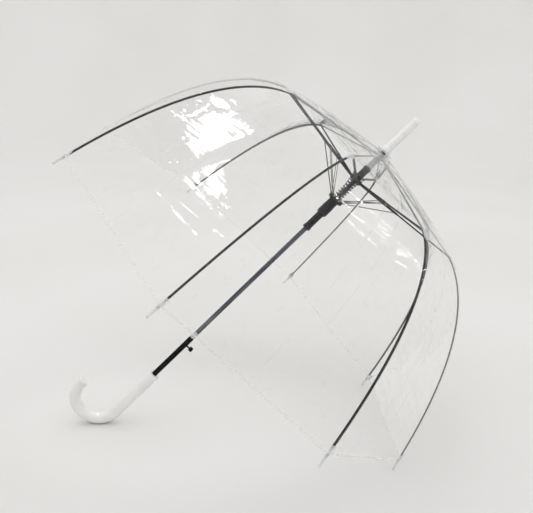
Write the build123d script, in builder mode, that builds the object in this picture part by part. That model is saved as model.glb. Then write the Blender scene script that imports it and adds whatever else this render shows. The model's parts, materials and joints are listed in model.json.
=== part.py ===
from build123d import *
import os
from math import acos, asin, atan2, cos, degrees, hypot, radians, sin, sqrt

# Clear dome umbrella with a hooked handle, standing open on two rib tips and the underside of its hook.
# Heights run along the shaft from the plane of the rib ends, positive towards the ferrule.
# Radii are measured from the shaft axis. A pivot or joint is written (radius, height). All sizes in mm.

# Canopy and frame
gores = 8
rib_end = (400, 0)
rib_joint = (205, 291)
rib_bow_low = (368, 104)
rib_bow_high = (309, 257)
rib_width = 3.0
rib_depth = 2.6
rib_wall = 0.6
tip_length = 28
tip_radius = 2.2
tip_seat = 9
film_thickness = 0.25
film_gap = 3.2
film_apex = (12, 333.4)
film_stations = 12

# Pivots of the folding frame
crown_pivot = (7.2, 325)
upper_pivot = (9, 268)
lower_pivot = (12.5, 222)
strut_reach = 80
arm_side = 3.5
arm_width = 3.0
arm_depth = 4.0
strut_wire = 1.2
strut_spread = 2.6
link_width = 1.2
link_depth = 2.2
pin_radius = 0.6
pin_play = 0.08
eye_radius = 1.8
wire_eye = 1.5
link_pin_length = 3.8
arm_pin_length = 5.0
strut_pin_length = 7.2
cut_over = 1.0

# Closed position
closed_joint_radius = 22
closed_rim_radius = 56

# Shaft, runners and trim
shaft_radius = 4.2
shaft_bore = 3.5
slide_gap = 0.3
shaft_foot = -340
shaft_top = 350
runner_foot = 147.5
upper_runner_top = 298
stop_sleeve_radius = 6.1
spring_radius = 8.0
spring_wire = 0.85
spring_turns = 8
upper_hub_foot = 264.5
lower_hub_top = 223.6
ferrule_radius = 7.5
ferrule_end = 413

# Handle and release button
handle_top = -247
handle_radius = 11
hook_radius = 43
hook_height = -355
hook_sweep = 188
cap_thickness = 3
sleeve_radius = 5.0
sleeve_top = -144
ring_top = -130
button_height = -163.2
button_radius = 4.4
button_face = 17.5
button_stem = 1.6
button_travel = 3.0

# The tip is straight and continues the end of the rib.
rib_end_slope = hypot(rib_end[0] - rib_bow_low[0], rib_end[1] - rib_bow_low[1])
tip_run = ((rib_end[0] - rib_bow_low[0]) / rib_end_slope, (rib_end[1] - rib_bow_low[1]) / rib_end_slope)
tip_ball = (rib_end[0] + tip_run[0] * tip_length, rib_end[1] + tip_run[1] * tip_length)

# Resting attitude: the two lowest tips, half a gore each side of straight down, and the hook's underside
# touch the ground together.
half_gore = 180 / gores
tip_to_hook = (tip_ball[0] * cos(radians(half_gore)) + hook_radius, tip_ball[1] - hook_height)
drop_difference = hook_radius + handle_radius - tip_radius
shaft_rise = degrees(acos(drop_difference / hypot(*tip_to_hook)) - atan2(tip_to_hook[1], tip_to_hook[0]))
shaft_cos = cos(radians(shaft_rise))
shaft_sin = sin(radians(shaft_rise))
rim_height = tip_ball[0] * cos(radians(half_gore)) * shaft_cos - tip_ball[1] * shaft_sin + tip_radius
rim_forward = -13.34
rim_centre = (rim_forward, 0, rim_height)
shaft_frame = Plane(rim_centre, x_dir=(shaft_sin, 0, -shaft_cos), z_dir=(shaft_cos, 0, shaft_sin))
shaft_axis = Axis(shaft_frame.origin, shaft_frame.z_dir)
azimuths = [half_gore + index * 360 / gores for index in range(gores)]


def length_and_rise(start, end):
    """Length of a straight member and its angle above the plane across the shaft."""
    run = (end[0] - start[0], end[1] - start[1])
    return hypot(*run), degrees(atan2(run[1], run[0]))


# Closing: the wires fold down, the ribs come parallel to the shaft, and both runners slide to the handle.
link_length, link_rise = length_and_rise(crown_pivot, rib_joint)
arm_length, arm_rise = length_and_rise(upper_pivot, rib_joint)
strut_joint = (
    upper_pivot[0] + strut_reach * cos(radians(arm_rise)),
    upper_pivot[1] + strut_reach * sin(radians(arm_rise)),
)
strut_length, strut_rise = length_and_rise(lower_pivot, strut_joint)
chord_length, chord_rise = length_and_rise(rib_joint, rib_end)

link_turn = 90 - degrees(asin((closed_joint_radius - crown_pivot[0]) / link_length)) + link_rise
closed_joint_height = crown_pivot[1] - sqrt(link_length**2 - (closed_joint_radius - crown_pivot[0]) ** 2)
chord_turn = chord_rise + 90 - degrees(asin((closed_rim_radius - closed_joint_radius) / chord_length))
rib_turn = link_turn - chord_turn
closed_arm_rise = degrees(acos((closed_joint_radius - upper_pivot[0]) / arm_length))
arm_turn = closed_arm_rise - arm_rise
closed_upper_height = closed_joint_height - arm_length * sin(radians(closed_arm_rise))
upper_travel = upper_pivot[1] - closed_upper_height
closed_strut_joint = (
    upper_pivot[0] + strut_reach * cos(radians(closed_arm_rise)),
    closed_upper_height + strut_reach * sin(radians(closed_arm_rise)),
)
closed_strut_rise = degrees(acos((closed_strut_joint[0] - lower_pivot[0]) / strut_length))
strut_turn = closed_strut_rise - strut_rise
closed_lower_height = closed_strut_joint[1] - strut_length * sin(radians(closed_strut_rise))
lower_travel = lower_pivot[1] - closed_lower_height


def across(height):
    """Plane square to the shaft at a height."""
    return shaft_frame.offset(height)


def radial(azimuth, side=0):
    """Plane along the shaft: x runs outwards at the azimuth and y up the shaft, moved sideways."""
    turn_cos, turn_sin = cos(radians(azimuth)), sin(radians(azimuth))
    outwards = shaft_frame.x_dir * turn_cos + shaft_frame.y_dir * turn_sin
    sideways = shaft_frame.y_dir * turn_cos - shaft_frame.x_dir * turn_sin
    return Plane(shaft_frame.origin + sideways * side, x_dir=outwards, z_dir=-sideways)


def member_plane(azimuth, side, start, rise):
    """Plane across a straight member at its start, which leaves at the rise in a radial plane."""
    base = radial(azimuth, side)
    run = base.x_dir * cos(radians(rise)) + base.y_dir * sin(radians(rise))
    return Plane(base.from_local_coords((start[0], start[1], 0)), x_dir=base.z_dir, z_dir=run)


def save(piece, name):
    """Label a finished piece and write it under its node name."""
    piece.part.label = name
    export_step(piece.part, f"parts/{name}.step")


def turned_piece(outline):
    """Solid of revolution about the shaft, from an outline of (radius, height) points."""
    with BuildPart() as piece:
        with BuildSketch(radial(0)):
            with BuildLine():
                Polyline(*outline, close=True)
            make_face()
        revolve(axis=shaft_axis)
    return piece


def shaft_tube():
    with BuildPart() as piece:
        with BuildSketch(across(shaft_foot)):
            Circle(shaft_radius)
            Circle(shaft_bore, mode=Mode.SUBTRACT)
        extrude(amount=shaft_top - shaft_foot)
        with BuildSketch(button_plane()):
            Circle(button_stem + slide_gap)
        extrude(amount=button_face, mode=Mode.SUBTRACT)
    return piece


def button_plane():
    """Plane through the shaft axis that looks outwards along the button."""
    return Plane(across(button_height).origin, x_dir=shaft_frame.y_dir, z_dir=shaft_frame.x_dir)


def ferrule():
    base, shoulder, foot, socket = 9, 345, 338, 352
    end_length, end_taper, end_lip = 3, 1.2, 0.6
    return turned_piece(
        [
            (0, socket),
            (shaft_radius, socket),
            (shaft_radius, foot),
            (base, foot),
            (base, shoulder - end_taper),
            (ferrule_radius, shoulder),
            (ferrule_radius, ferrule_end - end_length),
            (ferrule_radius - end_taper, ferrule_end - end_lip),
            (ferrule_radius - end_length, ferrule_end),
            (0, ferrule_end),
        ]
    )


def film_washer():
    """Clear dished washer that holds the film down under the ferrule."""
    brim, brim_foot, brim_top, seat, roof, bore_foot = 15, 334.4, 335.6, 10, 338, 335
    return turned_piece(
        [(shaft_radius, bore_foot), (brim, brim_foot), (brim, brim_top), (seat, roof), (shaft_radius, roof)]
    )


def crown():
    """Top notch: a drum with one open slot for each wire."""
    foot, top, roof, rim, slot_floor, slot = 320.5, 331, 328, 9.5, 5.2, 2.0
    with BuildPart() as piece:
        with BuildSketch(across(foot)):
            Circle(rim)
            Circle(shaft_radius, mode=Mode.SUBTRACT)
        extrude(amount=top - foot)
        for azimuth in azimuths:
            with BuildSketch(radial(azimuth)):
                with BuildLine():
                    Polyline(
                        (slot_floor, foot), (rim + cut_over, foot), (rim + cut_over, roof),
                        (slot_floor, roof), close=True,
                    )
                make_face()
            extrude(amount=slot / 2, both=True, mode=Mode.SUBTRACT)
            with BuildSketch(radial(azimuth)):
                with Locations(crown_pivot):
                    Circle(pin_radius)
            extrude(amount=link_pin_length / 2, both=True, mode=Mode.SUBTRACT)
    return piece


def hub_pins(pivot, side, length):
    """One straight pin for each member that turns in a hub."""
    with BuildPart() as piece:
        for azimuth in azimuths:
            with BuildSketch(radial(azimuth, side)):
                with Locations(pivot):
                    Circle(pin_radius)
            extrude(amount=length / 2, both=True)
    return piece


def stop_sleeve():
    """Ribbed sleeve on the shaft below the crown, where the upper runner stops."""
    foot, top, ridges, ridge, ridge_share = 299, 320, 6, 0.5, 0.6
    pitch = (top - foot) / ridges
    outline = [(shaft_radius, foot)]
    for index in range(ridges):
        height = foot + index * pitch
        outline += [
            (stop_sleeve_radius, height),
            (stop_sleeve_radius, height + pitch * ridge_share),
            (stop_sleeve_radius - ridge, height + pitch * ridge_share),
            (stop_sleeve_radius - ridge, height + pitch),
        ]
    outline += [(shaft_radius, top)]
    return turned_piece(outline)


def upper_runner():
    """Sliding collar with a slotted hub that carries the arms."""
    hub, foot, roof, floor, slot_floor, slot = 11.5, upper_hub_foot, 273, 265.9, 6.8, 2.6
    neck, lip, lip_height, lip_rise, edge = 6.5, 7, 6, 0.5, 0.8
    bore = shaft_radius + slide_gap
    with BuildPart() as piece:
        with BuildSketch(radial(0)):
            with BuildLine():
                Polyline(
                    (bore, foot),
                    (hub - edge, foot),
                    (hub, foot + edge),
                    (hub, roof),
                    (neck, roof),
                    (neck, upper_runner_top - lip_height),
                    (lip, upper_runner_top - lip_height + lip_rise),
                    (lip, upper_runner_top),
                    (bore, upper_runner_top),
                    close=True,
                )
            make_face()
        revolve(axis=shaft_axis)
        for azimuth in azimuths:
            with BuildSketch(radial(azimuth, arm_side)):
                with BuildLine():
                    Polyline(
                        (slot_floor, floor), (hub + cut_over, floor), (hub + cut_over, roof),
                        (slot_floor, roof), close=True,
                    )
                make_face()
            extrude(amount=slot / 2, both=True, mode=Mode.SUBTRACT)
            with BuildSketch(radial(azimuth, arm_side)):
                with Locations(upper_pivot):
                    Circle(pin_radius)
            extrude(amount=arm_pin_length / 2, both=True, mode=Mode.SUBTRACT)
    return piece


def lower_runner():
    """Long sliding sleeve with a flange and one lug for each strut."""
    bore = shaft_radius + slide_gap
    skirt_bore = sleeve_radius + slide_gap
    collar, neck, body, core, flange, lug = 7.5, 6.5, 9.5, 9, 14.5, 3.2
    collar_top, collar_edge = runner_foot + 5, 1
    body_foot, body_edge, body_top, core_foot = runner_foot + 38, 3, 204, 206
    brim_foot, brim_low, brim_top, lug_foot = 215, 217.5, 219.5, 219
    bore_foot, bore_edge = runner_foot + 60, 2
    lug_root, lug_end = core - 2, flange - 0.5
    with BuildPart() as piece:
        with BuildSketch(radial(0)):
            with BuildLine():
                Polyline(
                    (skirt_bore, runner_foot),
                    (collar, runner_foot),
                    (collar, collar_top),
                    (neck, collar_top + collar_edge),
                    (neck, body_foot - body_edge),
                    (body, body_foot),
                    (body, body_top),
                    (core, core_foot),
                    (core, brim_foot),
                    (flange, brim_low),
                    (flange, brim_top),
                    (core, brim_top),
                    (core, lower_hub_top),
                    (bore, lower_hub_top),
                    (bore, bore_foot),
                    (skirt_bore, bore_foot - bore_edge),
                    close=True,
                )
            make_face()
        revolve(axis=shaft_axis)
        for azimuth in azimuths:
            with BuildSketch(radial(azimuth, arm_side)):
                with BuildLine():
                    Polyline(
                        (lug_root, lug_foot), (lug_end, lug_foot), (lug_end, lower_hub_top),
                        (lug_root, lower_hub_top), close=True,
                    )
                make_face()
            extrude(amount=lug / 2, both=True)
            with BuildSketch(radial(azimuth, arm_side)):
                with Locations(lower_pivot):
                    Circle(pin_radius)
            extrude(amount=lug, both=True, mode=Mode.SUBTRACT)
    return piece


def opening_spring():
    """Coil between the two runners."""
    foot = lower_hub_top + spring_wire + slide_gap
    top = upper_hub_foot - spring_wire - slide_gap
    with BuildPart() as piece:
        with BuildLine() as coil:
            Helix(
                pitch=(top - foot) / spring_turns,
                height=top - foot,
                radius=spring_radius,
                center=across(foot).origin,
                direction=shaft_frame.z_dir,
            )
        with BuildSketch(Plane(coil.line @ 0, z_dir=coil.line % 0)):
            Circle(spring_wire)
        sweep()
    return piece


def link(azimuth):
    """Flat wire from the crown to the rib, with an eye at each end."""
    with BuildPart() as piece:
        with BuildSketch(member_plane(azimuth, 0, crown_pivot, link_rise)):
            Rectangle(link_width, link_depth)
        extrude(amount=link_length)
        for place in (crown_pivot, rib_joint):
            with BuildSketch(radial(azimuth)):
                with Locations(place):
                    Circle(wire_eye)
            extrude(amount=link_width / 2, both=True)
            with BuildSketch(radial(azimuth)):
                with Locations(place):
                    Circle(pin_radius + pin_play)
            extrude(amount=link_width, both=True, mode=Mode.SUBTRACT)
    return piece


def rib(azimuth):
    """Curved channel, open towards the shaft, pinned to its wire between two cheeks."""
    base = radial(azimuth)
    cheek, web_start = 1.7, 4.0
    with BuildPart() as piece:
        with BuildLine(base) as curve:
            Bezier(rib_joint, rib_bow_high, rib_bow_low, rib_end)
        with BuildSketch(Plane(curve.line @ 0, x_dir=base.z_dir, z_dir=curve.line % 0)):
            Rectangle(rib_width, rib_depth)
        sweep()
        with BuildSketch(base):
            with Locations(rib_joint):
                Circle(cheek)
        extrude(amount=rib_width / 2, both=True)
        with BuildSketch(base):
            with Locations(rib_joint):
                Circle(web_start)
        extrude(amount=rib_width / 2 - rib_wall, both=True, mode=Mode.SUBTRACT)
        with BuildSketch(base):
            with Locations(rib_joint):
                Circle(pin_radius)
        extrude(amount=rib_width / 2, both=True)
    return piece


def tip(azimuth):
    """Moulded cap on the end of the rib, with a rounded bead at its end."""
    base = radial(azimuth)
    start = Vector(*rib_end)
    along = Vector(*tip_run)
    out = Vector(-tip_run[1], tip_run[0])
    neck = 1.5
    bead = start + along * tip_length
    neck_end = bead - along * sqrt(tip_radius**2 - neck**2) + out * neck
    with BuildPart() as piece:
        with BuildSketch(base):
            with BuildLine():
                Polyline(
                    start, start + out * tip_radius, start + along * tip_seat + out * tip_radius, neck_end
                )
                ThreePointArc(neck_end, bead + out * tip_radius, bead + along * tip_radius)
                Line(bead + along * tip_radius, start)
            make_face()
        foot = base.from_local_coords(start)
        revolve(axis=Axis(foot, base.from_local_coords(bead) - foot))
    return piece


def arm(azimuth):
    """Stiff bar from the upper runner to the rib, beside the wire; deeper as far as its strut."""
    slim, blade, blade_run, lap = 2.6, 2.0, 6.0, 4.0
    base = radial(azimuth, arm_side)
    with BuildPart() as piece:
        with BuildSketch(member_plane(azimuth, arm_side, upper_pivot, arm_rise)):
            Rectangle(blade, slim)
        extrude(amount=blade_run + cut_over)
        with BuildSketch(member_plane(azimuth, arm_side, upper_pivot, arm_rise).offset(blade_run)):
            Rectangle(arm_width, arm_depth)
        extrude(amount=strut_reach - blade_run + lap)
        with BuildSketch(member_plane(azimuth, arm_side, upper_pivot, arm_rise).offset(strut_reach)):
            Rectangle(arm_width, slim)
        extrude(amount=arm_length - strut_reach)
        with BuildSketch(base):
            with Locations(upper_pivot):
                Circle(eye_radius)
        extrude(amount=blade / 2, both=True)
        with BuildSketch(base):
            with Locations(upper_pivot):
                Circle(pin_radius + pin_play)
        extrude(amount=blade, both=True, mode=Mode.SUBTRACT)
        with BuildSketch(base):
            with Locations(rib_joint):
                Circle(eye_radius)
        extrude(amount=arm_width / 2, both=True)
    return piece


def strut(azimuth):
    """Pair of wires from the lower runner, one each side of the arm, with an eye at each end."""
    eye, eye_width = 1.5, 0.9
    with BuildPart() as piece:
        for side in (arm_side - strut_spread, arm_side + strut_spread):
            with BuildSketch(member_plane(azimuth, side, lower_pivot, strut_rise)):
                Circle(strut_wire / 2)
            extrude(amount=strut_length)
            for place in (lower_pivot, strut_joint):
                with BuildSketch(radial(azimuth, side)):
                    with Locations(place):
                        Circle(eye)
                extrude(amount=eye_width / 2, both=True)
                with BuildSketch(radial(azimuth, side)):
                    with Locations(place):
                        Circle(pin_radius + pin_play)
                extrude(amount=strut_wire, both=True, mode=Mode.SUBTRACT)
    return piece


def film_profile(gap):
    """Section of the film over a rib, at a gap outside the rib's centre line."""
    curve = Bezier(rib_joint, rib_bow_high, rib_bow_low, rib_end, mode=Mode.PRIVATE)
    points = []
    for index in range(film_stations + 1):
        at = curve @ (index / film_stations)
        along = curve % (index / film_stations)
        points.append((at.X - along.Y * gap, at.Y + along.X * gap))
    seat = curve @ 1 + Vector(*tip_run) * tip_seat
    points.append((seat.X - tip_run[1] * gap, seat.Y + tip_run[0] * gap))
    return [(film_apex[0], film_apex[1] + gap - film_gap)] + points


def canopy():
    """One clear sheet of straight-edged gores over all the ribs, open at the rim."""
    hole, hole_depth = 6.5, 10
    with BuildPart() as piece:
        for gap, mode in ((film_gap + film_thickness, Mode.ADD), (film_gap, Mode.SUBTRACT)):
            for radius, height in film_profile(gap):
                with BuildSketch(across(height)):
                    RegularPolygon(radius, gores, rotation=half_gore)
            loft(ruled=True, mode=mode)
        with BuildSketch(across(film_apex[1] - hole_depth / 2)):
            Circle(hole)
        extrude(amount=hole_depth, mode=Mode.SUBTRACT)
    return piece


def handle():
    """Hooked grip: a straight socket on the shaft, then a little over half a turn."""
    base = radial(0)
    with BuildPart() as piece:
        with BuildLine(base) as route:
            Line((0, handle_top), (0, hook_height))
            CenterArc((-hook_radius, hook_height), hook_radius, 0, -hook_sweep)
        with BuildSketch(across(handle_top)):
            Circle(handle_radius)
        sweep()
        with BuildSketch(across(shaft_foot)):
            Circle(shaft_radius)
        extrude(amount=handle_top - shaft_foot, mode=Mode.SUBTRACT)
    return piece, Plane(route.line @ 1, x_dir=base.z_dir, z_dir=route.line % 1)


def handle_cap(end):
    """Rounded plug that closes the end of the hook."""
    inset, edge = 0.3, 2
    with BuildPart() as piece:
        with BuildSketch(end):
            Circle(handle_radius - inset)
        extrude(amount=cap_thickness)
        fillet(piece.faces().sort_by(Axis(end.origin, end.z_dir))[-1].edges(), radius=edge)
    return piece


def shaft_sleeve():
    """Tube over the foot of the shaft, with a hole for the button's stem."""
    with BuildPart() as piece:
        with BuildSketch(across(handle_top)):
            Circle(sleeve_radius)
            Circle(shaft_radius, mode=Mode.SUBTRACT)
        extrude(amount=sleeve_top - handle_top)
        with BuildSketch(button_plane()):
            Circle(button_stem + slide_gap)
        extrude(amount=button_face, mode=Mode.SUBTRACT)
    return piece


def stop_ring():
    """Light collar above the sleeve."""
    taper, taper_length = 0.4, 1
    return turned_piece(
        [
            (shaft_radius, sleeve_top),
            (sleeve_radius, sleeve_top),
            (sleeve_radius, ring_top - taper_length),
            (sleeve_radius - taper, ring_top),
            (shaft_radius, ring_top),
        ]
    )


def release_button():
    """Round knob on a stem that reaches into the shaft."""
    knob, stem_end, edge = 6.0, 2.9, 1.2
    plane = button_plane()
    with BuildPart() as piece:
        with BuildSketch(plane.offset(stem_end)):
            Circle(button_stem)
        extrude(amount=button_face - stem_end)
        with BuildSketch(plane.offset(button_face - knob)):
            Circle(button_radius)
        extrude(amount=knob)
        fillet(piece.faces().sort_by(Axis(plane.origin, plane.z_dir))[-1].edges(), radius=edge)
    return piece


def button_spring():
    """Bowed steel leaf inside the shaft that returns the button."""
    bow, span, thickness, breadth, wall_gap = 1.8, 12, 0.3, 2.0, 0.7
    wall = wall_gap - shaft_bore
    with BuildPart() as piece:
        with BuildSketch(radial(0)):
            with BuildLine():
                ThreePointArc(
                    (wall, button_height - span), (wall + bow, button_height), (wall, button_height + span)
                )
                Line((wall, button_height + span), (wall + thickness, button_height + span))
                ThreePointArc(
                    (wall + thickness, button_height + span),
                    (wall + bow + thickness, button_height),
                    (wall + thickness, button_height - span),
                )
                Line((wall + thickness, button_height - span), (wall, button_height - span))
            make_face()
        extrude(amount=breadth / 2, both=True)
    return piece


os.makedirs("parts", exist_ok=True)
save(shaft_tube(), "shaft")
save(ferrule(), "ferrule")
save(film_washer(), "film_washer")
save(crown(), "crown")
save(hub_pins(crown_pivot, 0, link_pin_length), "crown_pins")
save(stop_sleeve(), "stop_sleeve")
save(upper_runner(), "upper_runner")
save(hub_pins(upper_pivot, arm_side, arm_pin_length), "upper_runner_pins")
save(opening_spring(), "opening_spring")
save(lower_runner(), "lower_runner")
save(hub_pins(lower_pivot, arm_side, strut_pin_length), "lower_runner_pins")
save(shaft_sleeve(), "shaft_sleeve")
save(stop_ring(), "stop_ring")
save(release_button(), "release_button")
save(button_spring(), "button_spring")
hook, hook_end = handle()
save(hook, "handle")
save(handle_cap(hook_end), "handle_cap")
save(canopy(), "canopy")
for number, azimuth in enumerate(azimuths, start=1):
    save(link(azimuth), f"top_wire_{number}")
    save(rib(azimuth), f"rib_{number}")
    save(tip(azimuth), f"rib_tip_{number}")
    save(arm(azimuth), f"arm_{number}")
    save(strut(azimuth), f"strut_{number}")

print(f"shaft rises {shaft_rise:.2f} degrees, rim centre at {rim_centre}")
print(f"wire turns {link_turn:.2f}, rib {rib_turn:.2f}, arm {arm_turn:.2f}, strut {strut_turn:.2f} degrees")
print(f"runners travel {upper_travel:.1f} and {lower_travel:.1f}")
print(f"closed foot of the lower runner at {runner_foot - lower_travel:.1f}")
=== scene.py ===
import json
import math

import bpy
import numpy as np
from mathutils import Matrix, Vector


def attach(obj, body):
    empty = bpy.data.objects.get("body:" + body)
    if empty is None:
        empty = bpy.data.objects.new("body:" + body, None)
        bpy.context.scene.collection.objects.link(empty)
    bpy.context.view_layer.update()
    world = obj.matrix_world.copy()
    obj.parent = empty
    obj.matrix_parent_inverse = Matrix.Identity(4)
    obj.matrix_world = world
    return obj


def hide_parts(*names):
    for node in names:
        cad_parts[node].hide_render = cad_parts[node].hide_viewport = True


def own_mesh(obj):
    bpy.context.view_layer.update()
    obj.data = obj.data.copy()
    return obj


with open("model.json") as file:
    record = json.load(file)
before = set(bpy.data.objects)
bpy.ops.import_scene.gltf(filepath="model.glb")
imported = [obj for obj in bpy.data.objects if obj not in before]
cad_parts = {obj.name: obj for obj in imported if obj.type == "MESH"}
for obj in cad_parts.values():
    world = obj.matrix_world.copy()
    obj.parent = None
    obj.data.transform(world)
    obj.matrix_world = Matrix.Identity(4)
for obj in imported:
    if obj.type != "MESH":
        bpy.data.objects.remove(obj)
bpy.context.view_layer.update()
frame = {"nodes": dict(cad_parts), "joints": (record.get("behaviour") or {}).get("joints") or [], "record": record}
joints = {j["name"]: j for j in frame["joints"]}
slot_of = {part["node"]: part["material_slot"] for part in frame["record"]["subparts"]}

# Camera, where the photograph was taken from: its place, and its directions in the part's frame
CAMERA_PLACE = (-0.0387, -1.2033, 0.7028)
CAMERA_RIGHT = (0.9988, -0.0411, 0.0260)
CAMERA_DOWN = (0.0125, -0.3003, -0.9538)
CAMERA_AHEAD = (0.0470, 0.9530, -0.2995)
LENS_MM = 47.72
SENSOR_MM = 36.0
SHIFT_UP = 0.0103
camera_data = bpy.data.cameras.new("camera")
camera_data.lens = LENS_MM
camera_data.sensor_width = SENSOR_MM
camera_data.shift_y = SHIFT_UP
camera = bpy.data.objects.new("camera", camera_data)
right, down, ahead = Vector(CAMERA_RIGHT), Vector(CAMERA_DOWN), Vector(CAMERA_AHEAD)
turn = Matrix((right, -down, -ahead)).transposed().to_4x4()
camera.matrix_world = Matrix.Translation(CAMERA_PLACE) @ turn
bpy.context.scene.collection.objects.link(camera)
bpy.context.scene.camera = camera
bpy.context.scene.view_settings.view_transform = "Standard"

# The umbrella's own frame: the shaft's direction, the centre of the rim, and each rib's radial plane
RIBS = range(1, 9)
HALF_GORE = math.radians(22.5)
CROWN_HEIGHT = 0.325
shaft_up = -np.array(joints["lower_runner_slide"]["axis"])
shaft_up /= np.linalg.norm(shaft_up)
crown_pins = {i: np.array(joints[f"top_wire_{i}_fold"]["pos_m"]) for i in RIBS}
crown_centre = np.mean([crown_pins[i] for i in RIBS], axis=0)
rim_centre = crown_centre - shaft_up * CROWN_HEIGHT
outward = {}
for i in RIBS:
    reach = crown_pins[i] - crown_centre
    reach -= shaft_up * (reach @ shaft_up)
    outward[i] = reach / np.linalg.norm(reach)
sideways = {i: np.cross(shaft_up, outward[i]) for i in RIBS}


# ---------------------------------------------------------------- materials


# How far apart in a noise two gores lie, so that each gets its own ridges
GORE_STRIDE = 3.7


class Graph:
    """A material's nodes. An input is a socket, which is linked, or a constant, which is set on the socket."""

    def __init__(self, name):
        self.material = bpy.data.materials.new(name)
        self.material.use_nodes = True
        self.tree = self.material.node_tree
        self.tree.nodes.clear()

    def add(self, kind, inputs=None, **settings):
        made = self.tree.nodes.new("ShaderNode" + kind)
        for key, value in settings.items():
            setattr(made, key, value)
        for key, value in (inputs or {}).items():
            if isinstance(value, bpy.types.NodeSocket):
                self.tree.links.new(value, made.inputs[key])
            else:
                made.inputs[key].default_value = value
        return made

    def math(self, operation, first, second=0.0, clamp=False):
        return self.add("Math", {0: first, 1: second}, operation=operation, use_clamp=clamp).outputs[0]

    def spread(self, value, low, high, to_low=0.0, to_high=1.0):
        """The value eased from one range to another, and held at its ends."""
        keys = {"Value": value, "From Min": low, "From Max": high, "To Min": to_low, "To Max": to_high}
        return self.add("MapRange", keys, interpolation_type="SMOOTHSTEP").outputs["Result"]

    def tint(self, share, first, second):
        """The first colour where the share is 0, and the second where it is 1."""
        made = self.add("Mix", data_type="RGBA")
        made.inputs["Factor"].default_value = 0.5
        self.tree.links.new(share, made.inputs["Factor"])
        made.inputs["A"].default_value = (0, 0, 0, 1)
        colours = [s for s in made.inputs if s.type == "RGBA"]
        for socket, colour in zip(colours, (first, second)):
            if isinstance(colour, bpy.types.NodeSocket):
                self.tree.links.new(colour, socket)
            else:
                socket.default_value = (*colour, 1.0)
        return next(s for s in made.outputs if s.type == "RGBA")

    def noise(self, place, scale, detail=3.0, rough=0.5, distortion=0.0):
        keys = {
            "Vector": place, "Scale": scale, "Detail": detail, "Roughness": rough, "Distortion": distortion,
        }
        return self.add("TexNoise", keys).outputs["Fac"]

    def place(self):
        return self.add("TexCoord").outputs["Object"]

    def along_shaft(self, stretch):
        """The place with distances along the shaft made shorter, so that a noise on it runs lengthwise."""
        place = self.place()
        axis = tuple(float(v) for v in shaft_up)
        share = self.add("VectorMath", {0: place, 1: axis}, operation="DOT_PRODUCT").outputs["Value"]
        share = self.math("MULTIPLY", share, 1.0 - stretch)
        back = self.add("VectorMath", {0: axis, "Scale": share}, operation="SCALE").outputs["Vector"]
        return self.add("VectorMath", {0: place, 1: back}, operation="SUBTRACT").outputs["Vector"]

    def faces_shaft(self):
        """1 where the surface faces the umbrella's shaft, and 0 where it faces away."""
        coordinates = self.add("TexCoord")
        axis = tuple(float(v) for v in shaft_up)
        centre = tuple(float(v) for v in rim_centre)
        place = coordinates.outputs["Object"]
        away = self.add("VectorMath", {0: place, 1: centre}, operation="SUBTRACT").outputs[0]
        height = self.add("VectorMath", {0: away, 1: axis}, operation="DOT_PRODUCT").outputs["Value"]
        lift = self.add("VectorMath", {0: axis, "Scale": height}, operation="SCALE").outputs[0]
        away = self.add("VectorMath", {0: away, 1: lift}, operation="SUBTRACT").outputs[0]
        away = self.add("VectorMath", {0: away}, operation="NORMALIZE").outputs[0]
        facing = self.add(
            "VectorMath", {0: away, 1: coordinates.outputs["Normal"]}, operation="DOT_PRODUCT"
        ).outputs["Value"]
        return self.spread(facing, -0.75, -0.35, 1.0, 0.0)

    def pull(self, spot, pulls):
        """Fine ridges drawn out along the film: each pull is (turn, ridges across, ridges along, strength)."""
        total = None
        for turn, across, along, strength in pulls:
            keys = {"Vector": spot, "Angle": turn}
            turned = self.add("VectorRotate", keys, rotation_type="Z_AXIS").outputs[0]
            keys = {0: turned, 1: (along, across, GORE_STRIDE)}
            drawn = self.add("VectorMath", keys, operation="MULTIPLY").outputs[0]
            ridge = self.noise(drawn, 1.0, detail=1.0, rough=0.35, distortion=0.4)
            ridge = self.math("ABSOLUTE", self.math("SUBTRACT", ridge, 0.5))
            ridge = self.math("MULTIPLY", ridge, strength)
            total = ridge if total is None else self.math("ADD", total, ridge)
        return total

    def bump(self, height, strength, distance):
        keys = {"Height": height, "Strength": strength, "Distance": distance}
        return self.add("Bump", keys).outputs["Normal"]

    def output(self, shader):
        target = self.add("OutputMaterial")
        self.tree.links.new(shader, target.inputs["Surface"])
        return self.material


WEAR_PATCHES = 300.0
GLOW_DEPTH = 0.004


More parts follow.
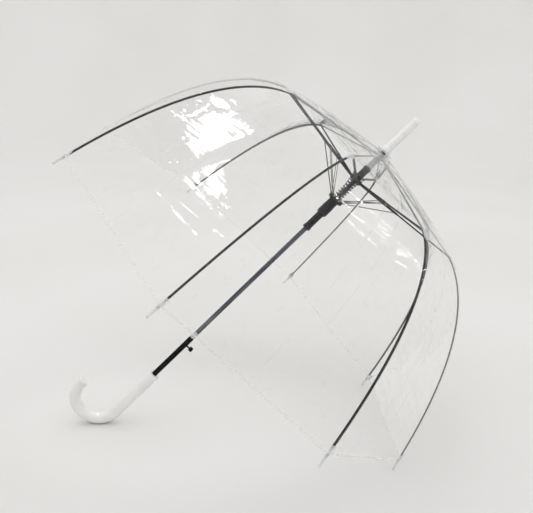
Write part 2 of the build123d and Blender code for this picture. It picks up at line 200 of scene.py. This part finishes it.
def solid_material(
    name, light, dark, rough, *, metal=0.0, ior=1.5, coat=0.0, glow=0.0, glow_colour=(1, 1, 1),
    blotch=60.0, grain=1800.0, grain_depth=0.00002, lengthwise=None, wear=None, wear_share=0.5,
    clear=0.0, inner=None,
):
    """A moulded, painted or drawn surface: blotched colour, uneven gloss and fine grain.

    light, dark: the colours of its blotches. rough: the lowest and highest roughness. blotch, grain: how
    many of them to a metre. lengthwise: how much of the shaft's length the noise keeps, if it is drawn out
    along it. wear: the colour of worn edges. clear: the share that lets light straight through.
    inner: the colour of the side that faces the shaft, partly the part's own grey and partly painted reflection of
    the film over it.
    """
    g = Graph(name)
    place = g.place() if lengthwise is None else g.along_shaft(lengthwise)
    cloud = g.noise(place, blotch, detail=4.0)
    fine = g.noise(place, grain, detail=2.0)
    colour = g.tint(g.spread(cloud, 0.35, 0.65), dark, light)
    # The side facing the shaft takes the inner colour: partly its own grey, partly a painted reflection of the
    # film's sheen.
    if inner is not None:
        colour = g.tint(g.faces_shaft(), colour, inner)
    if wear is not None:
        edge = g.add("NewGeometry").outputs["Pointiness"]
        edge = g.spread(edge, 0.52, 0.60)
        patches = g.spread(g.noise(place, WEAR_PATCHES), 0.4, 0.6, 0.0, wear_share)
        edge = g.math("MULTIPLY", edge, patches)
        colour = g.tint(edge, colour, wear)
    smear = g.noise(place, blotch * 4, detail=3.0)
    low, high = rough
    keys = {
        "Base Color": colour,
        "Roughness": g.spread(smear, 0.3, 0.7, low, high),
        "Normal": g.bump(fine, 0.6, grain_depth),
        "Metallic": metal,
        "IOR": ior,
    }
    if coat:
        keys |= {"Coat Weight": coat, "Coat Roughness": 0.05}
    if glow:
        keys |= {
            "Subsurface Weight": glow,
            "Subsurface Radius": glow_colour,
            "Subsurface Scale": GLOW_DEPTH,
        }
    shader = g.add("BsdfPrincipled", keys).outputs[0]
    if clear:
        through = g.add("BsdfTransparent", {"Color": (0.97, 0.975, 0.98, 1)}).outputs[0]
        keys = {"Fac": g.spread(cloud, 0.3, 0.7, clear - 0.08, clear + 0.08), 1: shader, 2: through}
        shader = g.add("MixShader", keys).outputs[0]
    return g.output(shader)


# Fine ridges in the film, where it is pulled from rib to rib: turn, ridges across, ridges along, strength
FILM_PULL = ((0.10, 50.0, 2.4, 1.8), (0.26, 95.0, 4.5, 0.6), (-0.12, 34.0, 3.0, 0.6))


# How high the film's fine relief stands in shares of FILM_RELIEF, in metres
FILM_RELIEF = 0.0011
CRACK_RISE, RIPPLE_RISE, BEND_RISE, STREAK_RISE = 0.10, -0.14, 0.8, -1.1
# How far creases wander off a straight line, in metres
WANDER = 0.035
# How the film mirrors and lets light through
FILM_IOR = 1.28
FILM_MIRROR = 1.1
FILM_ROUGHNESS = (0.018, 0.050)
FILM_CLEAR = (0.988, 0.988, 0.987, 1)
FILM_WHITE = (0.9, 0.91, 0.92, 1)
# Milky shares: on the fold half-way between ribs, the weld on a rib, the hem's welt, and elsewhere; the white on
# the fold and the welt is partly painted highlight. Widths and edges are distances from those lines in metres
FOLD_WIDTH, FOLD_WHITE_AND_GLINT = 0.0016, 0.22
WELD_EDGE, WELD_HAZE = (0.0022, 0.0032), 0.05
WELT_EDGE, WELT_WHITE_AND_GLINT = (0.0030, 0.0042), (0.10, 0.50)
CRACK_HAZE, WISP_HAZE, LEAST_HAZE = 0.02, 0.07, 0.006
# A folded film is whiter: it starts and ends at these distances from the place at rest
FOLDED_AWAY, FOLDED_HAZE = (0.004, 0.05), 0.16


def film_material():
    """Clear plastic film: it shows what is behind it, mirrors lights, and is whiter along folds and welds. The
    white on the middle fold and the hem's welt is partly painted highlight.
    """
    g = Graph("clear_film")
    place = g.add("Attribute", attribute_name="rest_place").outputs["Vector"]
    folded = g.add("VectorMath", {0: g.place(), 1: place}, operation="DISTANCE").outputs["Value"]
    folded = g.spread(folded, *FOLDED_AWAY, 0.0, FOLDED_HAZE)
    mid = g.add("Attribute", attribute_name="mid_distance").outputs["Fac"]
    edge = g.add("Attribute", attribute_name="rib_distance").outputs["Fac"]
    hem = g.add("Attribute", attribute_name="hem_distance").outputs["Fac"]
    spot = g.add("Attribute", attribute_name="film_place").outputs["Vector"]
    bend = g.noise(place, 9.0, detail=2.0, distortion=0.6)
    wander = g.add("TexNoise", {"Vector": place, "Scale": 14.0, "Detail": 2.0}).outputs["Color"]
    wander = g.add("VectorMath", {0: wander, "Scale": WANDER}, operation="SCALE").outputs["Vector"]
    bent = g.add("VectorMath", {0: place, 1: wander}, operation="ADD").outputs["Vector"]
    crack = g.add("TexVoronoi", {"Vector": bent, "Scale": 26.0}, feature="DISTANCE_TO_EDGE").outputs["Distance"]
    crack = g.spread(crack, 0.0, 0.16, 1.0, 0.0)
    where = g.spread(g.noise(place, 12.0, detail=2.0), 0.44, 0.62)
    crack = g.math("MULTIPLY", crack, where)
    ripple = g.noise(bent, 42.0, detail=1.5, distortion=0.8)
    ripple = g.math("ABSOLUTE", g.math("SUBTRACT", ripple, 0.5))
    streak = g.pull(spot, FILM_PULL)
    height = g.math("ADD", g.math("MULTIPLY", crack, CRACK_RISE), g.math("MULTIPLY", ripple, RIPPLE_RISE))
    height = g.math("ADD", height, g.math("MULTIPLY", bend, BEND_RISE))
    height = g.math("ADD", height, g.math("MULTIPLY", streak, STREAK_RISE))
    normal = g.bump(height, 1.0, FILM_RELIEF)
    fresnel = g.add("Fresnel", {"IOR": FILM_IOR, "Normal": normal}).outputs[0]
    mirror_share = g.math("MULTIPLY", fresnel, FILM_MIRROR, clamp=True)
    smear = g.noise(place, 70.0, detail=2.0)
    rough = g.spread(smear, 0.3, 0.7, *FILM_ROUGHNESS)
    keys = {"Color": (1, 1, 1, 1), "Roughness": rough, "Normal": normal}
    gloss = g.add("BsdfGlossy", keys).outputs[0]
    through = g.add("BsdfTransparent", {"Color": FILM_CLEAR}).outputs[0]
    clear = g.add("MixShader", {"Fac": mirror_share, 1: through, 2: gloss}).outputs[0]
    white = g.add("BsdfDiffuse", {"Color": FILM_WHITE, "Normal": normal}).outputs[0]
    lit = g.add("BsdfTranslucent", {"Color": FILM_WHITE}).outputs[0]
    white_and_glint = g.add("MixShader", {"Fac": 0.5, 1: white, 2: lit}).outputs[0]
    broken = g.spread(g.noise(place, 35.0, detail=3.0), 0.40, 0.60)
    # The fold's broken white line is partly the crease's own whitening and partly a painted highlight.
    fold = g.math("MULTIPLY", g.spread(mid, 0.0, FOLD_WIDTH, FOLD_WHITE_AND_GLINT, 0.0), broken)
    weld = g.spread(edge, *WELD_EDGE, WELD_HAZE, 0.0)
    # The hem's welt as a beaded white line: partly its own milky weld, partly painted highlights.
    beads = g.spread(g.noise(place, 110.0, detail=1.0), 0.42, 0.58, *WELT_WHITE_AND_GLINT)
    welt = g.math("MULTIPLY", g.spread(hem, *WELT_EDGE, 1.0, 0.0), beads)
    # Add up the white: milky plastic, with painted highlight in part of the fold's and the welt's white.
    white_and_glint_share = g.math("ADD", fold, g.math("ADD", weld, welt))
    white_and_glint_share = g.math("ADD", white_and_glint_share, g.math("MULTIPLY", crack, CRACK_HAZE))
    wisps = g.noise(place, 52.0, detail=5.0, rough=0.62, distortion=0.5)
    white_and_glint_share = g.math("ADD", white_and_glint_share, g.spread(wisps, 0.56, 0.74, 0.0, WISP_HAZE))
    white_and_glint_share = g.math("ADD", white_and_glint_share, folded)
    white_and_glint_share = g.math("ADD", white_and_glint_share, LEAST_HAZE, clamp=True)
    return g.output(g.add("MixShader", {"Fac": white_and_glint_share, 1: clear, 2: white_and_glint}).outputs[0])


MATERIALS = {
    "shaft_paint": solid_material(
        "shaft_paint", (0.034, 0.037, 0.060), (0.022, 0.024, 0.040), (0.30, 0.44), ior=1.38,
        lengthwise=0.04, blotch=120.0, grain=2600.0, wear=(0.3, 0.31, 0.33), wear_share=0.3,
    ),
    "white_plastic": solid_material(
        "white_plastic", (0.88, 0.88, 0.875), (0.84, 0.84, 0.835), (0.22, 0.34),
        glow=0.3, glow_colour=(1, 0.98, 0.95),
    ),
    "clear_plastic": solid_material(
        "clear_plastic", (0.84, 0.85, 0.86), (0.76, 0.77, 0.78), (0.12, 0.22), glow=0.2, clear=0.42,
    ),
    "grey_plastic": solid_material(
        "grey_plastic", (0.50, 0.51, 0.52), (0.40, 0.41, 0.42), (0.30, 0.46), grain_depth=0.00005,
    ),
    "bare_steel": solid_material(
        "bare_steel", (0.66, 0.66, 0.66), (0.52, 0.52, 0.53), (0.22, 0.36), metal=1.0, lengthwise=0.1,
    ),
    "spring_steel": solid_material(
        "spring_steel", (0.022, 0.022, 0.026), (0.012, 0.012, 0.015), (0.26, 0.40), metal=0.2, ior=1.3,
        wear=(0.10, 0.10, 0.105), wear_share=0.2,
    ),
    "black_plastic": solid_material(
        "black_plastic", (0.018, 0.018, 0.022), (0.011, 0.011, 0.014), (0.30, 0.48), ior=1.24,
        grain_depth=0.00006, wear=(0.09, 0.09, 0.097), wear_share=0.4,
    ),
    "black_gloss": solid_material(
        "black_gloss", (0.005, 0.005, 0.0055), (0.003, 0.003, 0.0035), (0.08, 0.16), ior=1.14,
        wear=(0.05, 0.05, 0.055), wear_share=0.3,
    ),
    "handle_white": solid_material(
        "handle_white", (0.85, 0.848, 0.84), (0.815, 0.812, 0.80), (0.10, 0.20), coat=0.35, glow=0.45,
        glow_colour=(1, 0.98, 0.96), blotch=25.0, grain=900.0,
    ),
    "grey_wire": solid_material(
        "grey_wire", (0.30, 0.31, 0.32), (0.22, 0.225, 0.235), (0.28, 0.42), metal=0.5, lengthwise=0.3,
    ),
    # Black frame: its grey side facing the shaft is partly the channel's own grey and partly painted reflection of
    # the film over the far ribs.
    "frame_black": solid_material(
        "frame_black", (0.009, 0.009, 0.010), (0.005, 0.005, 0.006), (0.28, 0.44), ior=1.2,
        lengthwise=0.3, blotch=90.0, wear=(0.06, 0.06, 0.062), wear_share=0.3,
        inner=(0.30, 0.30, 0.305),
    ),
    "tip_white": solid_material(
        "tip_white", (0.82, 0.83, 0.83), (0.74, 0.75, 0.76), (0.14, 0.26), glow=0.2, clear=0.34,
    ),
    "strut_wire": solid_material(
        "strut_wire", (0.11, 0.11, 0.12), (0.07, 0.07, 0.075), (0.24, 0.36), metal=0.8, lengthwise=0.3,
    ),
    "clear_film": film_material(),
}

for name, node in frame["nodes"].items():
    for entry in node.material_slots:
        entry.material = MATERIALS[slot_of[name]]
    if name.startswith("rib_") and "tip" not in name:
        # The real film lies on its ribs, so it shows no second image of them
        node.visible_glossy = False


def add_piece(name, points, faces, slot_name, body):
    """A mesh piece with smooth faces that takes a slot's finish and rides on a body."""
    mesh = bpy.data.meshes.new(name)
    mesh.from_pydata([tuple(p) for p in points], [], faces)
    mesh.materials.append(MATERIALS[slot_name])
    mesh.shade_smooth()
    made = bpy.data.objects.new(name, mesh)
    bpy.context.scene.collection.objects.link(made)
    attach(made, body)
    return made


# ---------------------------------------------------------------- canopy film

# The rib's curve in its radial plane, as (radius, height) in metres, and the film's place on it
RIB_CURVE = np.array([(0.205, 0.291), (0.309, 0.257), (0.368, 0.104), (0.400, 0.000)])
# The gap between the rib's curve and the film
FILM_GAP = 0.0033
# The film's edge at the shaft as (radius, height), its slope there, and how far it runs past a rib's end
FILM_HOLE = (0.0075, 0.3337)
HOLE_SLOPE = math.radians(9)
TIP_LAP = 0.009
CURVE_STEPS = 240


def film_line():
    """The film's line over a rib, from the hole at the shaft to the hem, as evenly spaced points."""
    t = np.linspace(0, 1, CURVE_STEPS)[:, None]
    p = RIB_CURVE
    curve = (
        (1 - t) ** 3 * p[0] + 3 * (1 - t) ** 2 * t * p[1]
        + 3 * (1 - t) * t * t * p[2] + t**3 * p[3]
    )
    run = np.gradient(curve, axis=0)
    run /= np.linalg.norm(run, axis=1)[:, None]
    curve = curve + np.stack([-run[:, 1], run[:, 0]], axis=1) * FILM_GAP
    curve = np.vstack([curve, curve[-1] + run[-1] * TIP_LAP])
    joint, leave = curve[0], run[0]
    start = np.array(FILM_HOLE)
    gap = np.linalg.norm(joint - start)
    first = np.array([math.cos(HOLE_SLOPE), -math.sin(HOLE_SLOPE)]) * gap
    last = leave * gap
    s = np.linspace(0, 1, CURVE_STEPS)[:, None]
    top = (
        (2 * s**3 - 3 * s**2 + 1) * start + (s**3 - 2 * s**2 + s) * first
        + (3 * s**2 - 2 * s**3) * joint + (s**3 - s**2) * last
    )
    line = np.vstack([top[:-1], curve])
    lengths = np.concatenate([[0], np.cumsum(np.linalg.norm(np.diff(line, axis=0), axis=1))])
    return line, lengths, lengths[CURVE_STEPS - 1]


LINE, LENGTHS, JOINT_LENGTH = film_line()
HEM_LENGTH = LENGTHS[-1]
# A flat gore, from a rib to half-way to the next: the share of the radius that it loses, and how wide it is
RADIUS_FALL = math.sin(HALF_GORE) ** 2
SIDE_RISE = math.sin(HALF_GORE) * math.cos(HALF_GORE)
joint_radius = float(np.interp(JOINT_LENGTH, LENGTHS, LINE[:, 0]))


def profile(length):
    """Radius and height of the film's line at a length from the shaft."""
    return np.interp(length, LENGTHS, LINE[:, 0]), np.interp(length, LENGTHS, LINE[:, 1])


def waves(count, shortest, longest, seed):
    """Directions and phases of sine waves in space, with wavelengths in metres."""
    draw = np.random.default_rng(seed)
    along = draw.normal(size=(count, 3))
    along /= np.linalg.norm(along, axis=1)[:, None]
    lengths = shortest * (longest / shortest) ** draw.random(count)
    return along * (2 * math.pi / lengths)[:, None], draw.random(count) * 2 * math.pi


# Broad slack and short crumples, and how high each stands, with the crease half-way between ribs, in metres
BROAD, BROAD_RISE = waves(9, 0.085, 0.24, 11), 0.0007
CRUMPLE, CRUMPLE_RISE = waves(14, 0.030, 0.08, 23), 0.00012
CREASE_RISE, CREASE_WIDTH = 0.0009, 0.006
# The film is taut beside a rib, near the shaft and at the hem: share of a half gore, and lengths in metres
TAUT_SHARE = 0.45
TAUT_TOP, EASE_TOP = 0.03, 0.12
EASE_HEM = 0.07


def swell(points, kind):
    """The waves' sum at points."""
    numbers, phases = kind
    return np.sin(points @ numbers.T + phases).sum(axis=-1) / math.sqrt(len(phases))


def film_points(i, length, across, half):
    """Film over rib i. across runs from 0 on the rib to 1 half-way to the next rib, on the half's side."""
    radius, height = profile(length)
    flat_out = radius * (1 - across * RADIUS_FALL)
    flat_side = radius * across * SIDE_RISE * half
    points = (
        rim_centre + flat_out[..., None] * outward[i] + flat_side[..., None] * sideways[i]
        + height[..., None] * shaft_up
    )
    step = 0.002
    low, high = profile(length - step), profile(length + step)
    slope = np.stack([high[0] - low[0], high[1] - low[1]], axis=-1)
    slope /= np.linalg.norm(slope, axis=-1)[..., None]
    middle = outward[i] * math.cos(HALF_GORE) + sideways[i] * half * math.sin(HALF_GORE)
    normal = -slope[..., 1:] * middle + slope[..., :1] * shaft_up
    reach = np.clip(across / TAUT_SHARE, 0, 1)
    window = reach * reach * (3 - 2 * reach)
    start = np.clip((length - TAUT_TOP) / EASE_TOP, 0, 1)
    window = window * start * start * (3 - 2 * start)
    loose = np.clip((HEM_LENGTH - length) / EASE_HEM, 0, 1)
    crease = np.exp(-(1 - across) * radius * SIDE_RISE / CREASE_WIDTH)
    ridge = 0.45 - np.abs(swell(points, CRUMPLE))
    rise = BROAD_RISE * swell(points, BROAD) + CRUMPLE_RISE * ridge
    rise = (rise + CREASE_RISE * crease) * window * loose
    return points + rise[..., None] * normal


def film_normals(i, length, across, half):
    """The film's outward normals, from its shape a small step to each side."""
    step = 0.0015
    wide = step / 0.15
    inner, outer = np.clip(across - wide, 0.0, 1.0), np.clip(across + wide, 0.0, 1.0)
    down = film_points(i, length + step, across, half) - film_points(i, length - step, across, half)
    over = film_points(i, length, outer, half) - film_points(i, length, inner, half)
    normal = np.cross(over, down) * -half
    return normal / np.linalg.norm(normal, axis=-1)[..., None]


ROWS = {"top": 40, "side": 76}
COLUMNS = 26


def film_sheet(part, i, body):
    """One sheet over rib i, from mid-gore to mid-gore: inside the joints (top), or beyond them (side)."""
    rows = ROWS[part]
    reach = np.linspace(0, 1, COLUMNS + 1)
    across = np.concatenate([reach[::-1], reach])
    sides = np.repeat([-1.0, 1.0], COLUMNS + 1)
    border_radius = joint_radius / (1 - across * RADIUS_FALL)
    border = np.interp(border_radius, LINE[:, 0], LENGTHS)
    first, last = (0.0, border) if part == "top" else (border, HEM_LENGTH)
    share = np.linspace(0, 1, rows + 1)[:, None]
    length = first + (last - first) * share
    across = np.broadcast_to(across, length.shape)
    half = np.broadcast_to(sides, length.shape)[..., None]
    points = np.where(
        half > 0,
        film_points(i, length, across, 1.0),
        film_points(i, length, across, -1.0),
    )
    count = len(across[0])
    faces, corners = [], []
    normals = {h: film_normals(i, length, across, h) for h in (-1.0, 1.0)}
    for row in range(rows):
        for column in [c for c in range(count - 1) if c != COLUMNS]:
            ring = [(row, column), (row + 1, column), (row + 1, column + 1), (row, column + 1)]
            faces.append([r * count + c for r, c in ring])
            h = -1.0 if column <= COLUMNS else 1.0
            corners += [tuple(normals[h][r, c]) for r, c in ring]
    made = add_piece(f"{part}_film_{i}", points.reshape(-1, 3), faces, "clear_film", body)
    made.data.normals_split_custom_set(corners)
    radius = profile(length)[0]
    values = {
        "mid_distance": (1 - across) * radius * SIDE_RISE,
        "rib_distance": across * radius * SIDE_RISE,
        "hem_distance": HEM_LENGTH - length,
    }
    for key, value in values.items():
        attribute = made.data.attributes.new(key, "FLOAT", "POINT")
        attribute.data.foreach_set("value", np.ascontiguousarray(value, dtype=np.float32).ravel())
    gore = (i + (half[..., 0] - 1) / 2) % len(RIBS)
    from_middle = -half[..., 0] * (1 - across) * radius * SIDE_RISE
    spot = np.stack([from_middle, length, gore], axis=-1)
    for key, value in {"film_place": spot, "rest_place": points}.items():
        attribute = made.data.attributes.new(key, "FLOAT_VECTOR", "POINT")
        attribute.data.foreach_set("vector", np.ascontiguousarray(value, dtype=np.float32).ravel())
    made.visible_shadow = False
    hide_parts("canopy")
    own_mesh(made)


def lap_patch(name, i, middle, long, wide):
    """A small rounded patch welded over the film along rib i, with its middle at a length from the shaft."""
    rows, columns = 14, 12
    share = np.linspace(-1, 1, rows + 1)[:, None]
    over = np.linspace(-1, 1, columns + 1)[None, :]
    room = np.sqrt(1 - 0.92 * np.abs(share) ** 6)
    length = middle + share * long / 2 + 0 * over
    reach = np.abs(over) * room * wide / 2
    radius = profile(length)[0]
    across = reach / (radius * SIDE_RISE)
    crown = PATCH_LIFT * (0.45 + 0.55 * (1 - over**4) * (1 - share**4))
    ahead = (over >= 0)[..., None]
    points = np.where(ahead, film_points(i, length, across, 1.0), film_points(i, length, across, -1.0))
    one, other = film_normals(i, length, across, 1.0), film_normals(i, length, across, -1.0)
    normals = np.where(ahead, one, other)
    on_rib = columns // 2
    normals[:, on_rib] = one[:, on_rib] + other[:, on_rib]
    normals[:, on_rib] /= np.linalg.norm(normals[:, on_rib], axis=-1)[..., None]
    points = points + normals * crown[..., None]
    count = columns + 1
    faces = [
        [r * count + c, (r + 1) * count + c, (r + 1) * count + c + 1, r * count + c + 1]
        for r in range(rows) for c in range(columns)
    ]
    add_piece(name, points.reshape(-1, 3), faces, "clear_plastic", f"rib_{i}")


# Each patch: how far its middle is past the joint, or short of the hem, then its length and its width
JOINT_PATCH = (0.0135, 0.024, 0.014)
HEM_PATCH = (0.0085, 0.013, 0.010)
PATCH_LIFT = 0.0004
for i in RIBS:
    film_sheet("top", i, f"top_wire_{i}")
    film_sheet("side", i, f"rib_{i}")
    past, long, wide = JOINT_PATCH
    lap_patch(f"joint_patch_{i}", i, JOINT_LENGTH + past, long, wide)
    short, long, wide = HEM_PATCH
    lap_patch(f"hem_patch_{i}", i, HEM_LENGTH - short, long, wide)

# ---------------------------------------------------------------- collars on the rib tips

TIP_RUN = (RIB_CURVE[3] - RIB_CURVE[2]) / np.linalg.norm(RIB_CURVE[3] - RIB_CURVE[2])
COLLAR_PLACE = 0.0105
COLLAR_RING = 28
# The ring's section, as (radius, place along the tip)
COLLAR_OUTLINE = (
    (0.00150, -0.0011), (0.00225, -0.0010), (0.00250, -0.0006), (0.00235, -0.0002), (0.00255, 0.0003),
    (0.00245, 0.0008), (0.00225, 0.0011), (0.00150, 0.0012),
)


def tip_collar(i):
    """A crimped grey ring round the rib's tip, where the film's corner is fixed to it."""
    ring = COLLAR_RING
    along = TIP_RUN[0] * outward[i] + TIP_RUN[1] * shaft_up
    lift = -TIP_RUN[1] * outward[i] + TIP_RUN[0] * shaft_up
    start = RIB_CURVE[3] + TIP_RUN * COLLAR_PLACE
    centre = rim_centre + start[0] * outward[i] + start[1] * shaft_up
    points, faces = [], []
    for radius, shift in COLLAR_OUTLINE:
        for k in range(ring):
            a = 2 * math.pi * k / ring
            crimp = 1 + 0.03 * math.cos(7 * a)
            points.append(
                centre + along * shift + radius * crimp * (math.cos(a) * lift + math.sin(a) * sideways[i])
            )
    rows = len(COLLAR_OUTLINE)
    for r in range(rows):
        for k in range(ring):
            a, b = r * ring, (r + 1) % rows * ring
            faces.append([a + k, a + (k + 1) % ring, b + (k + 1) % ring, b + k])
    add_piece(f"tip_collar_{i}", points, faces, "grey_plastic", f"rib_{i}")


for i in RIBS:
    tip_collar(i)

# ---------------------------------------------------------------- opening spring

# Heights on the shaft from the rim's centre, the coil's and the wire's radius, and the number of turns
SPRING_FOOT = 0.2236
SPRING_TOP = 0.2645
SPRING_RADIUS = 0.0080
SPRING_WIRE = 0.00088
SPRING_TURNS = 8


def opening_spring():
    """Round wire coil with a closed, flattened turn at each end."""
    steps, ring = 40 * SPRING_TURNS, 10
    turn = np.linspace(0, 1, steps + 1)
    eased = np.clip((turn - 0.5 / SPRING_TURNS) / (1 - 1 / SPRING_TURNS), 0, 1)
    low, high = SPRING_FOOT + SPRING_WIRE * 1.2, SPRING_TOP - SPRING_WIRE * 1.2
    height = low + (high - low) * (0.92 * eased + 0.08 * turn)
    angle = turn * SPRING_TURNS * 2 * math.pi
    out = np.cos(angle)[:, None] * outward[1] + np.sin(angle)[:, None] * sideways[1]
    middle = rim_centre + out * SPRING_RADIUS + height[:, None] * shaft_up
    run = np.gradient(middle, axis=0)
    run /= np.linalg.norm(run, axis=1)[:, None]
    third = np.cross(run, out)
    round_angle = np.linspace(0, 2 * math.pi, ring, endpoint=False)
    offsets = (
        np.cos(round_angle)[None, :, None] * out[:, None, :]
        + np.sin(round_angle)[None, :, None] * third[:, None, :]
    )
    points = (middle[:, None, :] + offsets * SPRING_WIRE).reshape(-1, 3)
    faces = [
        [s * ring + k, s * ring + (k + 1) % ring, (s + 1) * ring + (k + 1) % ring, (s + 1) * ring + k]
        for s in range(steps) for k in range(ring)
    ]
    faces += [list(range(ring))[::-1], [steps * ring + k for k in range(ring)]]
    made = add_piece("spring_coil", points, faces, "spring_steel", "lower_runner")
    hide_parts("opening_spring")
    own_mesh(made)


opening_spring()

# ---------------------------------------------------------------- studio


FLOOR_DARK, FLOOR_LIGHT = (0.755, 0.75, 0.74), (0.78, 0.777, 0.77)
SKY_COLOUR = (1.0, 0.997, 0.99, 1)
SKY_STRENGTH = 1.24


def studio():
    """Pale floor that rises into a round wall, and an even sky."""
    flat, bend, top = 2.8, 1.6, 3.4
    outline = [(0.0, 0.0), (0.6, 0.0), (1.4, 0.0), (flat, 0.0)]
    outline += [
        (flat + bend * math.sin(a), bend * (1 - math.cos(a))) for a in np.linspace(0, math.pi / 2, 13)[1:]
    ]
    outline += [(flat + bend, top)]
    around = 72
    points, faces = [(0.0, 0.0, 0.0)], []
    for radius, height in outline[1:]:
        for k in range(around):
            a = 2 * math.pi * k / around
            points.append((radius * math.cos(a), radius * math.sin(a), height))
    for k in range(around):
        faces.append([0, 1 + k, 1 + (k + 1) % around])
    for ring in range(len(outline) - 2):
        a, b = 1 + ring * around, 1 + (ring + 1) * around
        faces += [[a + k, b + k, b + (k + 1) % around, a + (k + 1) % around] for k in range(around)]
    mesh = bpy.data.meshes.new("floor")
    mesh.from_pydata(points, [], faces)
    mesh.shade_smooth()
    g = Graph("floor_paper")
    place = g.place()
    colour = g.tint(g.spread(g.noise(place, 1.4, detail=2.0), 0.3, 0.7), FLOOR_DARK, FLOOR_LIGHT)
    normal = g.bump(g.noise(place, 900.0), 0.3, 0.0001)
    keys = {"Base Color": colour, "Roughness": 0.85, "Normal": normal, "Specular IOR Level": 0.2}
    mesh.materials.append(g.output(g.add("BsdfPrincipled", keys).outputs[0]))
    floor = bpy.data.objects.new("floor", mesh)
    bpy.context.scene.collection.objects.link(floor)
    world = bpy.data.worlds.new("sky")
    world.use_nodes = True
    back = world.node_tree.nodes["Background"]
    back.inputs["Color"].default_value = SKY_COLOUR
    back.inputs["Strength"].default_value = SKY_STRENGTH
    bpy.context.scene.world = world


def soft_light(name, centre, toward, distance, size, radiance, roll=0.0):
    """A soft box at a distance from a point, in the direction given, which faces that point.

    It shows in glossy surfaces only. roll is in degrees.
    """
    data = bpy.data.lights.new(name, "AREA")
    data.shape = "RECTANGLE"
    data.size, data.size_y = size
    data.energy = radiance * size[0] * size[1] * math.pi
    light = bpy.data.objects.new(name, data)
    away = Vector(toward).normalized()
    turn = away.to_track_quat("Z", "Y").to_matrix().to_4x4() @ Matrix.Rotation(math.radians(roll), 4, "Z")
    light.matrix_world = Matrix.Translation(Vector(centre) + away * distance) @ turn
    bpy.context.scene.collection.objects.link(light)
    light.visible_diffuse = False


studio()
# Points on the film where the lights show: on the near gore, and on the gore at its right
PANEL = (-0.045, -0.215, 0.555)
SIDE_PANEL = (0.17, -0.25, 0.45)
# How far off the lights stand in metres, and how bright they are
STRIP_DISTANCE, WINDOW_DISTANCE = 1.7, 2.0
STRIP_GLOW, SMALL_GLOW = 68.0, 48.0
soft_light("strip_long", PANEL, (-0.21, 0.115, 0.97), STRIP_DISTANCE, (0.58, 0.09), STRIP_GLOW, roll=-25)
soft_light("strip_short", PANEL, (-0.35, 0.02, 0.935), STRIP_DISTANCE, (0.28, 0.08), STRIP_GLOW, roll=-8)
soft_light("strip_low", PANEL, (-0.37, -0.08, 0.926), STRIP_DISTANCE, (0.10, 0.07), SMALL_GLOW)
soft_light("window", SIDE_PANEL, (0.87, -0.13, 0.45), WINDOW_DISTANCE, (0.055, 0.52), SMALL_GLOW, roll=18)
